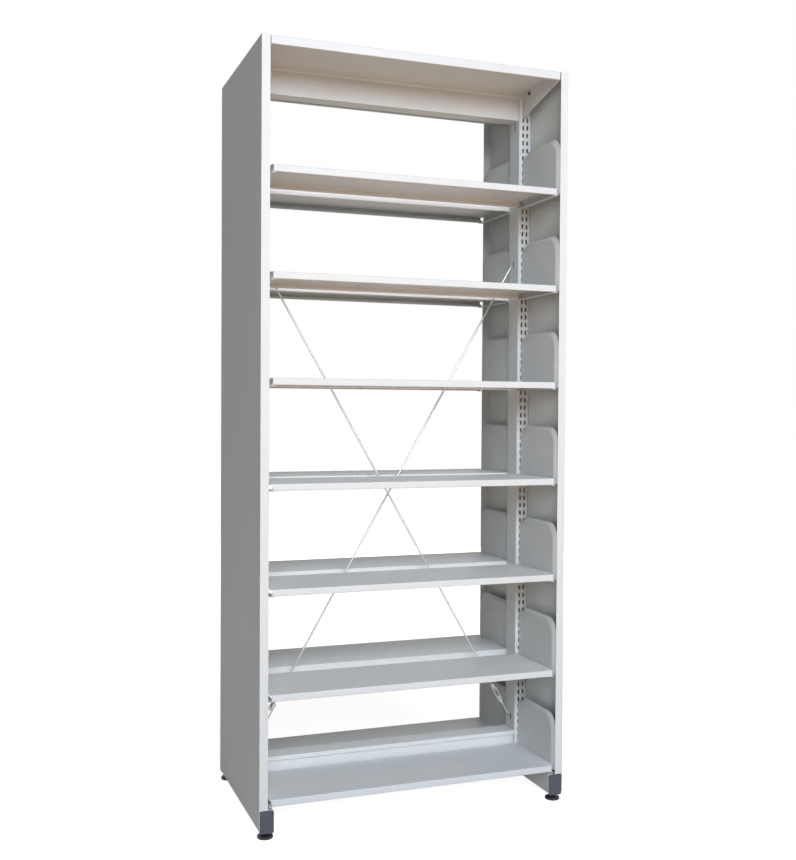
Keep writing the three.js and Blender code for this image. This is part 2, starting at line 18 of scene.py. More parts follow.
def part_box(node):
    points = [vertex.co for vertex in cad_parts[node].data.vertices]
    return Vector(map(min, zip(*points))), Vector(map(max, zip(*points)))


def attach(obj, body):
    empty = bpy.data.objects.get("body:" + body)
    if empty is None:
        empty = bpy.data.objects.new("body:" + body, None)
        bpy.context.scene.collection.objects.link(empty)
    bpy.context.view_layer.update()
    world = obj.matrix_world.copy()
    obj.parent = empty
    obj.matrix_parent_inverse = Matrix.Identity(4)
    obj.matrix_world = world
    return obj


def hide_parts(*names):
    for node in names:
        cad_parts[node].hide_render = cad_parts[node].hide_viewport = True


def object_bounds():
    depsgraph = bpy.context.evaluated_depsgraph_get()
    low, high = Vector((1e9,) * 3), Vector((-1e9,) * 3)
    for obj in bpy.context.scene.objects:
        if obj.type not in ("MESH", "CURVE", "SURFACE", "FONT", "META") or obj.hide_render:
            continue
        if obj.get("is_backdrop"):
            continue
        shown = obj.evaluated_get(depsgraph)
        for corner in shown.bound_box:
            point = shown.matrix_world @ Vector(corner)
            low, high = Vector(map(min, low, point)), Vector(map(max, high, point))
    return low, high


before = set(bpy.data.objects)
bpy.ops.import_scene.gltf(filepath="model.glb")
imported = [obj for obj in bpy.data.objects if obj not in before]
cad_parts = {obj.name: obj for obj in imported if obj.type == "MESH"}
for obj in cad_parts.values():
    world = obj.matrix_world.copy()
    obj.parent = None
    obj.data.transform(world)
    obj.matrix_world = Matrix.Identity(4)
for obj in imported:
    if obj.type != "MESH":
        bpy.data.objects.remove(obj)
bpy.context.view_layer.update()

# %% [markdown]
# ## Sizes
#
# Sheet-metal drawings are in millimetres and Blender works in metres. Every size here is written in millimetres and
# turned to metres in one place, where a mesh is made. The main places are read from the frame, so the dressing
# can't drift away from it; what the frame's boxes don't tell, such as the slot pitch, is a named size.

# %% Read the main places from the frame
MM = 0.001
TIERS = range(1, 7)


def box_mm(node):
    low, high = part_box(node)
    return low / MM, high / MM


post_low, post_high = box_mm("right_upright")
shelf_low, shelf_high = box_mm("front_shelf_1")
canopy_high = box_mm("front_canopy")[1]
shelf_tops = [box_mm(f"front_shelf_{tier}")[1].z for tier in TIERS]
shelf_pitch = shelf_tops[1] - shelf_tops[0]
base_top = shelf_tops[0] - shelf_pitch
print(f"shelf {shelf_high.x * 2:.0f} by {shelf_high.y - shelf_low.y:.0f} mm, tops at", [round(z) for z in shelf_tops])

# %% [markdown]
# ## Camera
#
# The photograph was taken from the front left at about half the height of the bay, with the camera held almost
# level. Its place was worked out from the edges of the panels and shelves, whose sizes are known. A level camera
# keeps upright edges parallel, so only a trace of tilt and roll is left.

# %% Place the camera
PHOTO_WIDTH, PHOTO_HEIGHT = 796, 860
FOCAL_PIXELS = 1079.7
SENSOR = 36
CAMERA_AT = (-1183.3, -3256.9, 1230.6)
CAMERA_YAW, CAMERA_PITCH, CAMERA_ROLL = 20.47, -1.2, 0.35

camera = bpy.data.objects.new("photo_camera", bpy.data.cameras.new("photo_camera"))
camera.data.sensor_width = SENSOR
camera.data.lens = FOCAL_PIXELS * SENSOR / max(PHOTO_WIDTH, PHOTO_HEIGHT)
camera.location = Vector(CAMERA_AT) * MM
camera.rotation_euler = [math.radians(angle) for angle in (90 + CAMERA_PITCH, -CAMERA_ROLL, -CAMERA_YAW)]
bpy.context.collection.objects.link(camera)
bpy.context.scene.camera = camera
print(f"lens {camera.data.lens:.1f} mm")

# %% [markdown]
# ## Finishes
#
# A material here is a small tree of shader nodes. One helper adds a node, sets its sockets and links it, so each
# finish reads as a short list. Colours are written as sRGB hex values, the way a paint card gives them, and turned
# to the linear values that a renderer needs.

# %% Helpers for materials
def linear(hex_code):
    channels = [int(hex_code[i:i + 2], 16) / 255 for i in (1, 3, 5)]
    return [c / 12.92 if c <= 0.04045 else ((c + 0.055) / 1.055) ** 2.4 for c in channels] + [1.0]


def add_node(tree, kind, settings=None, links=None):
    node = tree.nodes.new(kind)
    for name, value in (settings or {}).items():
        if isinstance(name, int) or name in node.inputs:
            node.inputs[name].default_value = value
        else:
            setattr(node, name, value)
    for name, source in (links or {}).items():
        tree.links.new(source, node.inputs[name])
    return node


def per_mm(size):
    """A texture's scale for features of this size in millimetres."""
    return 1 / (size * MM)


def new_material(name):
    material = bpy.data.materials.new(name)
    material.use_nodes = True
    material.node_tree.nodes.clear()
    return material, material.node_tree


print("white paint, linear:", [round(c, 3) for c in linear("#DCDFDE")])

# %% [markdown]
# ### Powder-coated steel
#
# Dry polyester powder is sprayed on the folded sheet and baked until it flows. It leaves an even, satin, slightly
# pebbled skin known as orange peel. The eye reads it as a soft highlight that is a little broken up, so two noises
# make it: a fine one that only bumps the surface, and a broad one that shifts colour and gloss by a few per cent,
# as the film thickness does. The real peel is about 1.5 mm across, too fine for the render, so it is drawn at 4 mm.

# %% Powder-coated steel
PEEL_MM, FILM_MM = 4, 160

powder_coat, tree = new_material("powder_coated_steel")
place = add_node(tree, "ShaderNodeTexCoord").outputs["Object"]
peel = add_node(tree, "ShaderNodeTexNoise", {"Scale": per_mm(PEEL_MM), "Detail": 1.0}, {"Vector": place})
film = add_node(tree, "ShaderNodeTexNoise", {"Scale": per_mm(FILM_MM), "Detail": 3.0}, {"Vector": place})
tint = add_node(tree, "ShaderNodeValToRGB", links={"Fac": film.outputs["Fac"]})
tint.color_ramp.elements[0].position, tint.color_ramp.elements[0].color = 0.3, linear("#D8DBDA")
tint.color_ramp.elements[1].position, tint.color_ramp.elements[1].color = 0.7, linear("#DCDFDE")
gloss = add_node(tree, "ShaderNodeMapRange", {"To Min": 0.48, "To Max": 0.58}, {"Value": film.outputs["Fac"]})
bump = add_node(tree, "ShaderNodeBump", {"Strength": 0.08, "Distance": 0.0002}, {"Height": peel.outputs["Fac"]})
shader = add_node(tree, "ShaderNodeBsdfPrincipled", {"IOR": 1.5, "Specular IOR Level": 0.25}, {
    "Base Color": tint.outputs["Color"], "Roughness": gloss.outputs["Result"], "Normal": bump.outputs["Normal"]})
add_node(tree, "ShaderNodeOutputMaterial", links={"Surface": shader.outputs["BSDF"]})
print(powder_coat.name, len(tree.nodes), "nodes")

# %% [markdown]
# ### Moulded plastics
#
# The leg caps are moulded in dark grey polypropylene and the feet in black nylon. Both moulds are spark-eroded, which
# gives a fine matt grain. The two share one recipe, with their own colours: a grain noise bumps the surface, and a
# slower one gives the faint cloudy tone of a moulding. The grain is 0.4 mm on the real ones, drawn at 1.2 mm to show.

# %% Moulded plastics
GRAIN_MM, CLOUD_MM = 1.2, 14


def moulded_plastic(name, dark, light, roughness):
    material, tree = new_material(name)
    place = add_node(tree, "ShaderNodeTexCoord").outputs["Object"]
    grain = add_node(tree, "ShaderNodeTexNoise", {"Scale": per_mm(GRAIN_MM), "Detail": 2.0}, {"Vector": place})
    cloud = add_node(tree, "ShaderNodeTexNoise", {"Scale": per_mm(CLOUD_MM), "Detail": 2.0}, {"Vector": place})
    tint = add_node(tree, "ShaderNodeValToRGB", links={"Fac": cloud.outputs["Fac"]})
    tint.color_ramp.elements[0].color = linear(dark)
    tint.color_ramp.elements[1].color = linear(light)
    bump = add_node(tree, "ShaderNodeBump", {"Strength": 0.25, "Distance": 0.0002}, {"Height": grain.outputs["Fac"]})
    shader = add_node(tree, "ShaderNodeBsdfPrincipled", {"IOR": 1.49, "Roughness": roughness}, {
        "Base Color": tint.outputs["Color"], "Normal": bump.outputs["Normal"]})
    add_node(tree, "ShaderNodeOutputMaterial", links={"Surface": shader.outputs["BSDF"]})
    return material


grey_polypropylene = moulded_plastic("grey_moulded_polypropylene", "#3F434C", "#4B4F59", 0.5)
black_nylon = moulded_plastic("black_moulded_nylon", "#161618", "#222225", 0.45)
print(grey_polypropylene.name, "and", black_nylon.name)

# %% [markdown]
# ### Plated and burnished steel
#
# The brace rods and the turnbuckles are drawn or forged steel with a bright zinc plating. The screw heads are dark
# steel: partly their own brassy-dark colour, and partly painted shade, darker than they are, that stands in for the
# shadow ring round each small head. A metal's colour sits in its reflection, so metallic is 1 and the IOR stays at its
# default. Such a skin is a little uneven: a noise of a few millimetres moves both tone and roughness, which keeps a
# thin rod from looking like a clean computer line.

# %% Plated steel and shade-darkened screw steel
PLATING_MM = 6


def bare_steel(name, dark, light, smooth, rough):
    material, tree = new_material(name)
    place = add_node(tree, "ShaderNodeTexCoord").outputs["Object"]
    plating = add_node(tree, "ShaderNodeTexNoise", {"Scale": per_mm(PLATING_MM), "Detail": 3.0}, {"Vector": place})
    tint = add_node(tree, "ShaderNodeValToRGB", links={"Fac": plating.outputs["Fac"]})
    tint.color_ramp.elements[0].color = linear(dark)
    tint.color_ramp.elements[1].color = linear(light)
    gloss = add_node(tree, "ShaderNodeMapRange", {"To Min": smooth, "To Max": rough}, {"Value": plating.outputs["Fac"]})
    shader = add_node(tree, "ShaderNodeBsdfPrincipled", {"Metallic": 1.0}, {
        "Base Color": tint.outputs["Color"], "Roughness": gloss.outputs["Result"]})
    add_node(tree, "ShaderNodeOutputMaterial", links={"Surface": shader.outputs["BSDF"]})
    return material


zinc_plate = bare_steel("zinc_plated_steel", "#D6D8DA", "#E2E4E5", 0.42, 0.52)
# screw heads: darker than their own brassy colour, as painted shade for the shadow ring round each head
shade_darkened_screw_steel = bare_steel("shade_darkened_screw_steel", "#54504B", "#6B655C", 0.3, 0.4)
print(zinc_plate.name, "and", shade_darkened_screw_steel.name)

# %% [markdown]
# ## Making pieces
#
# Sheet metal is easiest to draw as a skin without thickness: the Solidify modifier then gives it its gauge, and Bevel
# breaks the cut edges as deburring does. The helper below runs such modifiers once and keeps the resulting mesh, so
# that two dozen brackets can share one mesh instead of each running its own.

# %% Helpers for pieces
DEBURR_MM = 0.4
SMOOTH_ANGLE, DEBURR_ANGLE = 32, 40  # degrees: gentler bends are shaded smooth, harder edges are broken


def skin(name, points, faces):
    mesh = bpy.data.meshes.new(name)
    mesh.from_pydata([Vector(point) * MM for point in points], [], faces)
    mesh.update()
    return mesh


def finished(mesh, material, *modifiers):
    """The mesh after these modifiers, smooth across gentle bends and sharp across hard ones."""
    stand_in = bpy.data.objects.new("stand_in", mesh)
    bpy.context.collection.objects.link(stand_in)
    for kind, settings in modifiers:
        modifier = stand_in.modifiers.new(kind, kind)
        for setting, value in settings.items():
            setattr(modifier, setting, value)
    result = bpy.data.meshes.new_from_object(stand_in.evaluated_get(bpy.context.evaluated_depsgraph_get()))
    bpy.data.objects.remove(stand_in)
    closed = bmesh.new()
    closed.from_mesh(result)
    bmesh.ops.recalc_face_normals(closed, faces=closed.faces)
    closed.to_mesh(result)
    closed.free()
    result.name = mesh.name + "_finished"
    result.materials.clear()
    result.materials.append(material)
    result.shade_smooth()
    result.set_sharp_from_angle(angle=math.radians(SMOOTH_ANGLE))
    return result


def gauge(thickness):
    return "SOLIDIFY", {"thickness": thickness * MM, "offset": -1, "use_even_offset": True}


def deburr(width=DEBURR_MM, segments=2):
    return "BEVEL", {"width": width * MM, "segments": segments, "limit_method": "ANGLE",
                     "angle_limit": math.radians(DEBURR_ANGLE), "use_clamp_overlap": True}


def add_piece(name, mesh, body="frame", at=(0, 0, 0), turned=False, stands_for=()):
    """Puts a finished mesh in the scene. A turned piece goes to the other side of the bay by a half turn."""
    piece = bpy.data.objects.new(name, mesh)
    bpy.context.collection.objects.link(piece)
    turn = Matrix.Rotation(math.pi if turned else 0, 4, "Z")
    piece.matrix_world = turn @ Matrix.Translation(Vector(at) * MM)
    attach(piece, body)
    if stands_for:
        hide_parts(*stands_for)
    return piece


def mirrored(mesh):
    """The left hand of a right-hand mesh."""
    other = mesh.copy()
    other.name = mesh.name + "_left"
    other.transform(Matrix.Scale(-1, 4, (1, 0, 0)))
    other.flip_normals()
    return other


print("sheet edges broken by", DEBURR_MM, "mm")

# %% [markdown]
# ## Uprights
#
# Each upright is a box post welded on a base leg. Its front and rear faces are punched with two columns of slots at a
# 25 mm pitch, and its bay side has notches for the beams and slots for the brace. Cutting hundreds of slots with
# booleans is slow and leaves long thin triangles. A net of quads does it better: lines run round the post and
# along it at every slot's edge, the cells that are slots are left out, and Solidify gives the rest its wall.

# %% A net of quads round a tube
def rounded_ring(low, high, radius, cuts=((), (), (), ()), steps=3):
    """Points round a rounded rectangle, counter-clockwise. cuts are extra places on its bottom, right, top, left."""
    (x0, y0), (x1, y1) = low, high
    bottom, right, top, left = (sorted(side) for side in cuts)
    sides = [[(x, y0) for x in bottom], [(x1, y) for y in right],
             [(x, y1) for x in reversed(top)], [(x0, y) for y in reversed(left)]]
    centres = [(x1 - radius, y0 + radius), (x1 - radius, y1 - radius), (x0 + radius, y1 - radius),
               (x0 + radius, y0 + radius)]
    ring = []
    for corner, ((cx, cy), side) in enumerate(zip(centres, sides)):
        angles = [math.radians(90 * (corner - 1 + step / steps)) for step in range(steps + 1)]
        ring += side + [(cx + radius * math.cos(angle), cy + radius * math.sin(angle)) for angle in angles]
    return ring


def tube_net(ring, rows, holes=()):
    """Quads round a tube along Z. A cell whose middle is in a hole, given as six limits, is left out."""
    points = [(x, y, z) for z in rows for x, y in ring]
    count, faces = len(ring), []
    for row, (z0, z1) in enumerate(zip(rows, rows[1:])):
        level = [hole for hole in holes if hole[4] < (z0 + z1) / 2 < hole[5]]
        for i, (x, y) in enumerate(ring):
            j = (i + 1) % count
            x_mid, y_mid = (x + ring[j][0]) / 2, (y + ring[j][1]) / 2
            if not any(h[0] < x_mid < h[1] and h[2] < y_mid < h[3] for h in level):
                faces.append([row * count + i, row * count + j, (row + 1) * count + j, (row + 1) * count + i])
    return points, faces


# %% Where the post is punched
SLOT_WIDTH, SLOT_HEIGHT, SLOT_PITCH = 6, 14, 25
SLOT_INSET, SLOT_SPACING = 14.2, 14.7  # inner column from the bay side, and between the two columns
SLOT_OVER_SHELF = 20
POST_HALF_DEPTH = 35
LEG_HEIGHT = 60
BEAM_WALL_Y = 27
BEAM_HOOKS_BELOW = (33, 58)
TIE_SLOT_WIDTH, TIE_SLOT_HEIGHT = 12, 24
SPARE_TIE_BELOW_BEAM = 8
ROD_RADIUS, ROD_OFFSET = 3, 3.7
BRACE_TOP, BRACE_BOTTOM = 1700, 204
SEAM = 0.3

leg_top = post_low.z + LEG_HEIGHT
slot_x = post_low.x + SLOT_INSET
first_slot = base_top + SLOT_OVER_SHELF - SLOT_PITCH
slot_count = int((post_high.z - SLOT_HEIGHT - first_slot) // SLOT_PITCH) + 1
top_beam_low, top_beam_high = box_mm("top_beam")
bottom_beam_high = box_mm("bottom_beam")[1]


def around(middle, size):
    return middle - size / 2, middle + size / 2


web = around(post_low.x, SLOT_HEIGHT)
holes = []
for row in range(slot_count):
    height = around(first_slot + row * SLOT_PITCH, SLOT_HEIGHT)
    for x in (slot_x, slot_x + SLOT_SPACING):
        holes.append((*around(x, SLOT_WIDTH), -2 * POST_HALF_DEPTH, 2 * POST_HALF_DEPTH, *height))
for top in (top_beam_high.z, bottom_beam_high.z):
    for below in BEAM_HOOKS_BELOW:
        for y in (-BEAM_WALL_Y, BEAM_WALL_Y):
            holes.append((*web, *around(y, SLOT_WIDTH), *around(top - below, SLOT_HEIGHT)))
tie_bottoms = [
    (0, top_beam_low.z - SPARE_TIE_BELOW_BEAM - TIE_SLOT_HEIGHT),
    (ROD_OFFSET, BRACE_TOP - ROD_RADIUS - SEAM),
    (-ROD_OFFSET, BRACE_BOTTOM + ROD_RADIUS + SEAM - TIE_SLOT_HEIGHT)]
for y, bottom in tie_bottoms:
    holes.append((*web, *around(y, TIE_SLOT_WIDTH), bottom, bottom + TIE_SLOT_HEIGHT))
print(slot_count, "rows of slots,", len(holes), "openings in all")

# %% Make the two uprights
TUBE_WALL, TUBE_CORNER = 2, 2.5
STEM_HOLE = 11.4  # under each end of the leg, for a foot's stem

face_cuts = [limit for x in (slot_x, slot_x + SLOT_SPACING) for limit in around(x, SLOT_WIDTH)]
web_cuts = [limit for hole in holes if hole[1] == web[1] for limit in hole[2:4]]
post_ring = rounded_ring((post_low.x, -POST_HALF_DEPTH), (post_high.x, POST_HALF_DEPTH), TUBE_CORNER,
                         (face_cuts, (), face_cuts, sorted(set(web_cuts))))
post_rows = sorted({leg_top, post_high.z, *(limit for hole in holes for limit in hole[4:6])})
post_points, post_faces = tube_net(post_ring, post_rows, holes)

foot_low, foot_high = box_mm("right_rear_foot")
stem_x, stem_y = (foot_low.x + foot_high.x) / 2, (foot_low.y + foot_high.y) / 2
stem_width, underside = around(stem_x, STEM_HOLE), around(-post_low.z, TUBE_WALL)
stem_holes = [(*stem_width, *underside, *around(y, STEM_HOLE)) for y in (-stem_y, stem_y)]
leg_ring = rounded_ring((post_low.x, -leg_top), (post_high.x, -post_low.z), TUBE_CORNER, ((), (), stem_width, ()))
leg_rows = sorted({post_low.y, post_high.y, *(limit for hole in stem_holes for limit in hole[4:6])})
leg_points, leg_faces = tube_net(leg_ring, leg_rows, stem_holes)
leg_points = [(x, along, -down) for x, down, along in leg_points]

offset = len(post_points)
upright_skin = skin("upright", post_points + leg_points,
                    post_faces + [[offset + i for i in face] for face in leg_faces])
upright = finished(upright_skin, powder_coat, gauge(TUBE_WALL))
add_piece("right_upright_punched", upright, stands_for=["right_upright"])
add_piece("left_upright_punched", upright, turned=True, stands_for=["left_upright"])
print("upright:", len(upright.polygons), "faces")

# %% [markdown]
# ## Shelves and canopies
#
# A shelf is one folded sheet. Its front edge turns down to a lip, back under and up again, which stiffens it and leaves
# no sharp edge for a hand; its rear edge turns down and ends in a narrow hem. The section is a line with a small bend
# radius at each fold, drawn out along the shelf. The same folds with deeper lips make the canopy.

# %% Folded sheet
SHELF_SHEET, BEND_RADIUS, BEND_STEPS = 1.2, 2.4, 4
SHELF_LIP, CANOPY_LIP, CANOPY_REAR_LIP = 20, 25, 22
LIP_RETURN, LIP_HEM, REAR_HEM, REAR_HEM_WIDTH = 14, 8, 10, 3.4
ARC_SHARE = 0.45  # of a straight, the most that an arc takes at one end
LIP_END_CUT = 5  # a shelf's front lip stops short of its ends
BASE_END_REACH = 1.2  # the base shelf is longer, and welded to its brackets
SHELF_DEBURR = 0.3


def rounded_line(points, radius, steps):
    """The line with an arc in place of each inner corner. Two arcs never meet: Solidify needs some length between."""
    points = [Vector(point) for point in points]
    line = [points[0]]
    for before, corner, after in zip(points, points[1:], points[2:]):
        into, out = (corner - before).normalized(), (after - corner).normalized()
        reach = min(radius, ARC_SHARE * (corner - before).length, ARC_SHARE * (after - corner).length)
        start, end = corner - into * reach, corner + out * reach
        for step in range(steps + 1):
            t = step / steps
            line.append(start * (1 - t) ** 2 + corner * 2 * t * (1 - t) + end * t ** 2)
    return line + [points[-1]]


def folded_sheet(name, lip, rear_lip, half_length, end_cut=0):
    """A shelf with its top at height 0, front lip first. The lip is cut back at both ends."""
    front, rear = shelf_low.y, shelf_high.y
    hem = rear - REAR_HEM_WIDTH
    section = rounded_line([
        (front + LIP_RETURN, LIP_HEM - lip), (front + LIP_RETURN, -lip), (front, -lip), (front, 0),
        (rear, 0), (rear, -rear_lip), (hem, -rear_lip), (hem, REAR_HEM - rear_lip)], BEND_RADIUS, BEND_STEPS)
    count = len(section)
    cuts = [end_cut if y < front + LIP_RETURN + SEAM and z < -BEND_RADIUS / 2 else 0 for y, z in section]
    points = [(hand * (half_length - cut), y, z) for hand in (-1, 1) for cut, (y, z) in zip(cuts, section)]
    faces = [[i, count + i, count + i + 1, i + 1] for i in range(count - 1)]
    return finished(skin(name, points, faces), powder_coat, gauge(SHELF_SHEET), deburr(SHELF_DEBURR))


shelf = folded_sheet("shelf", SHELF_LIP, SHELF_LIP, shelf_high.x, LIP_END_CUT)
base_shelf = folded_sheet("base_shelf", SHELF_LIP, SHELF_LIP, shelf_high.x + BASE_END_REACH,
                          BASE_END_REACH + LIP_END_CUT)
up = max(polygon.normal.z for polygon in shelf.polygons if polygon.center.z > -SHELF_SHEET * MM / 3)
print("shelf:", len(shelf.polygons), "faces, top looks up:", up > 0.99)

# %% Lay the shelves
SIDES = {"front": ("right", "left", False), "rear": ("left", "right", True)}

for side, (hand, other_hand, turned) in SIDES.items():
    add_piece(f"{side}_base_shelf_sheet", base_shelf, at=(0, 0, base_top), turned=turned,
              stands_for=[f"{side}_base_shelf"])
    for tier, top in zip(TIERS, shelf_tops):
        node = f"{side}_shelf_{tier}"
        add_piece(f"{node}_sheet", shelf, body=node, at=(0, 0, top), turned=turned, stands_for=[node])
print(len(SIDES) * (len(shelf_tops) + 1), "shelves laid")

# %% [markdown]
# ## Brackets
#
# A bracket is the part a librarian knows best: a tall plate with a big round corner that also keeps the books in. Its
# free edge is turned outwards, so that no edge cuts a hand or a cover, and a ledge folded inwards carries the shelf.
# The plate stands in line with the slots, and its hooks run straight into them. Two lines are drawn: the plate's edge
# and the rim's free edge. The strip between them is the rim, and the ledge grows from the plate's foot.

# %% The bracket's outline
SHELF_END_GAP = 1.2
BRACKET_SHEET, BRACKET_RISE, BRACKET_DEBURR = 2, 160, 0.5
BRACKET_CORNER, CORNER_STEPS = 48, 14
RIM_TOP, RIM_FRONT, RIM_SETBACK = 10, 20, 1
RIM_BEND = [(0.06, 0), (0.13, 0.25), (0.24, 1.05), (1, 5.8)]  # share of the way to the free edge, and reach outwards
REAR_RUN, REAR_FALL = 34, 10
FRONT_CUT, RIM_CUT = 3, 6
LEDGE_WIDTH, LEDGE_SETBACK, LEDGE_REAR_GAP = 15, 4, 1
HOOK_ROWS, HOOK_NECK, HOOK_DROP, HOOK_THICK = (4, -1), 6, 7, 4

plate_x = shelf_high.x + SHELF_END_GAP
post_gap = -POST_HALF_DEPTH - shelf_high.y
ledge_top = -SHELF_LIP - SEAM
bracket_foot = ledge_top - BRACKET_SHEET
plate_front, plate_top = shelf_low.y + RIM_SETBACK + RIM_FRONT, BRACKET_RISE - RIM_TOP


def edge_line(front, foot, top, rear):
    """A line from the bracket's lower front, round its corner, to its top rear, as (y, z) points."""
    angles = [math.radians(180 - 90 * step / CORNER_STEPS) for step in range(CORNER_STEPS + 1)]
    arc = [(front + BRACKET_CORNER * (1 + math.cos(angle)), top - BRACKET_CORNER * (1 - math.sin(angle)))
           for angle in angles]
    return [(front, foot)] + arc + [(rear, top)]


def hook(row):
    """A hook that drops behind the post's wall, as (y, z) points from its upper to its lower root."""
    seat = SLOT_OVER_SHELF + row * SLOT_PITCH - SLOT_HEIGHT / 2 + SEAM
    inside = post_gap + TUBE_WALL + SEAM
    tip = inside + HOOK_THICK
    shape = [(0, HOOK_NECK), (tip, HOOK_NECK), (tip, -HOOK_DROP), (inside, -HOOK_DROP), (inside, 0), (0, 0)]
    return [(shelf_high.y + reach, seat + z) for reach, z in shape]


plate_rear = shelf_high.y - REAR_RUN
plate_edge = edge_line(plate_front, bracket_foot + FRONT_CUT, plate_top, plate_rear)
rim_edge = edge_line(plate_front - RIM_FRONT, bracket_foot + RIM_CUT, BRACKET_RISE, plate_rear + RIM_TOP)
print(f"plate at X {plate_x:.1f} to {plate_x + BRACKET_SHEET:.1f} mm, slots at {slot_x:.1f} mm")

# %% Build the bracket
def bracket_skin():
    outline = plate_edge + [(shelf_high.y, plate_top - REAR_FALL)]
    for row in HOOK_ROWS:
        outline += hook(row)
    ledge_rear = shelf_high.y - LEDGE_REAR_GAP
    outline += [(shelf_high.y, ledge_top), (ledge_rear, ledge_top), (plate_front + FRONT_CUT, ledge_top)]
    shape = bmesh.new()
    plate = [shape.verts.new((plate_x, y, z)) for y, z in outline]
    shape.faces.new(plate)

    row_before = plate[:len(plate_edge)]
    for share, reach in RIM_BEND:
        line = [Vector(inner).lerp(Vector(outer), share) for inner, outer in zip(plate_edge, rim_edge)]
        row = [shape.verts.new((plate_x + reach, y, z)) for y, z in line]
        for a, b, c, d in zip(row_before, row_before[1:], row[1:], row):
            shape.faces.new((a, b, c, d))
        row_before = row

    near = [shape.verts.new((plate_x, shelf_low.y + LEDGE_SETBACK, ledge_top)), plate[-1], plate[-2]]
    free = [shape.verts.new((plate_x - LEDGE_WIDTH, vert.co.y, ledge_top)) for vert in near]
    for a, b, c, d in zip(near, near[1:], free[1:], free):
        shape.faces.new((a, b, c, d))

    bmesh.ops.recalc_face_normals(shape, faces=shape.faces)
    widest = max(shape.faces, key=lambda face: face.calc_area())
    if widest.normal.x > 0:
        bmesh.ops.reverse_faces(shape, faces=shape.faces)
    for vert in shape.verts:
        vert.co *= MM
    mesh = bpy.data.meshes.new("bracket")
    shape.to_mesh(mesh)
    shape.free()
    return mesh


bracket_right = finished(bracket_skin(), powder_coat, gauge(BRACKET_SHEET), deburr(BRACKET_DEBURR))
bracket_left = mirrored(bracket_right)
print("bracket:", len(bracket_right.polygons), "faces")

# %% Hang the brackets
for side, (hand, other_hand, turned) in SIDES.items():
    for name, mesh in ((hand, bracket_right), (other_hand, bracket_left)):
        add_piece(f"{side}_{name}_base_bracket", mesh, at=(0, 0, base_top), turned=turned)
        for tier, top in zip(TIERS, shelf_tops):
            node = f"{side}_{name}_bracket_{tier}"
            add_piece(f"{node}_rimmed", mesh, at=(0, 0, top), turned=turned, stands_for=[node])
print(2 * len(SIDES) * (len(shelf_tops) + 1), "brackets hung")

# %% [markdown]
# ## Canopies
#
# The canopy is the shelf's fold with a deeper fascia, hooked to the posts by a triangular gusset under each end. A
# gusset is a flat plate, so its outline is enough. One screw near the post ties each gusset to the canopy.

# %% Make the canopies
GUSSET_SHEET, GUSSET_HEIGHT, GUSSET_HOOKS = 2, 86, 2

last_slot = first_slot + (slot_count - 1) * SLOT_PITCH
canopy = folded_sheet("canopy", CANOPY_LIP, CANOPY_REAR_LIP, canopy_high.x)


def gusset_skin():
    front, top = shelf_low.y + SHELF_SHEET + SEAM, -SHELF_SHEET - SEAM
    outline = [(front, top), (shelf_high.y, top)]
    for i in range(GUSSET_HOOKS):
        height = last_slot - i * SLOT_PITCH - canopy_high.z
        row = (height - SLOT_OVER_SHELF) / SLOT_PITCH
        outline += hook(row)
    outline += [(shelf_high.y, -GUSSET_HEIGHT), (front, -CANOPY_LIP)]
    points = [(slot_x - GUSSET_SHEET / 2, y, z) for y, z in outline]
    return skin("gusset", points, [list(range(len(points)))])


gusset_right = finished(gusset_skin(), powder_coat, gauge(GUSSET_SHEET), deburr())
gusset_left = mirrored(gusset_right)
for side, (hand, other_hand, turned) in SIDES.items():
    at = (0, 0, canopy_high.z)
    add_piece(f"{side}_canopy_sheet", canopy, at=at, turned=turned, stands_for=[f"{side}_canopy"])
    add_piece(f"{side}_{hand}_gusset", gusset_right, at=at, turned=turned)
    add_piece(f"{side}_{other_hand}_gusset", gusset_left, at=at, turned=turned)
print("canopy:", len(canopy.polygons), "faces, gusset:", len(gusset_right.polygons), "faces")

# %% [markdown]
# ## Turned pieces
#
# Feet and screw heads are bodies of revolution. A profile of (radius, height) points turned round Z gives them, and
# one helper serves all. A levelling foot has a wide low pad that rises to a neck under the leg.

# %% Feet and screws
FOOT_SIDES, SCREW_SIDES = 48, 24
FOOT_PROFILE = [(0, 0), (21.2, 0), (22.5, 0.6), (23, 1.8), (23, 5.6), (22.5, 7), (21, 8.1), (16, 9.6), (11.5, 11.6),
                (9, 14.2), (8, 17), (8, 21.7), (5, 21.7), (5, 55.3), (4.3, 56), (0, 56)]
SCREW_PROFILE = [(0, 0), (5.8, 0), (5.8, 3.2), (5.5, 4.1), (4.8, 4.6), (3.1, 4.8), (3.0, 1.6), (0, 1.6)]


def turned_skin(name, profile, sides):
    points, faces = [], []
    rings = []
    for radius, height in profile:
        if radius == 0:
            rings.append([len(points)] * sides)
            points.append((0, 0, height))
        else:
            rings.append(list(range(len(points), len(points) + sides)))
            angles = [2 * math.pi * i / sides for i in range(sides)]
            points += [(radius * math.cos(a), radius * math.sin(a), height) for a in angles]
    for lower, upper in zip(rings, rings[1:]):
        for i in range(sides):
            j = (i + 1) % sides
            corners = [lower[i], lower[j], upper[j], upper[i]]
            faces.append(list(dict.fromkeys(corners)))
    return skin(name, points, faces)


foot = finished(turned_skin("foot", FOOT_PROFILE, FOOT_SIDES), black_nylon)
for hand in ("left", "right"):
    for side in SIDES:
        node = f"{hand}_{side}_foot"
        low, high = box_mm(node)
        middle = (low + high) / 2
        add_piece(f"{node}_turned", foot, body=node, at=(middle.x, middle.y, low.z), stands_for=[node])
print("foot:", len(foot.polygons), "faces")

# %% Screws through the gussets
SCREW_FROM_POST, SCREW_BELOW_TOP = 45, 14

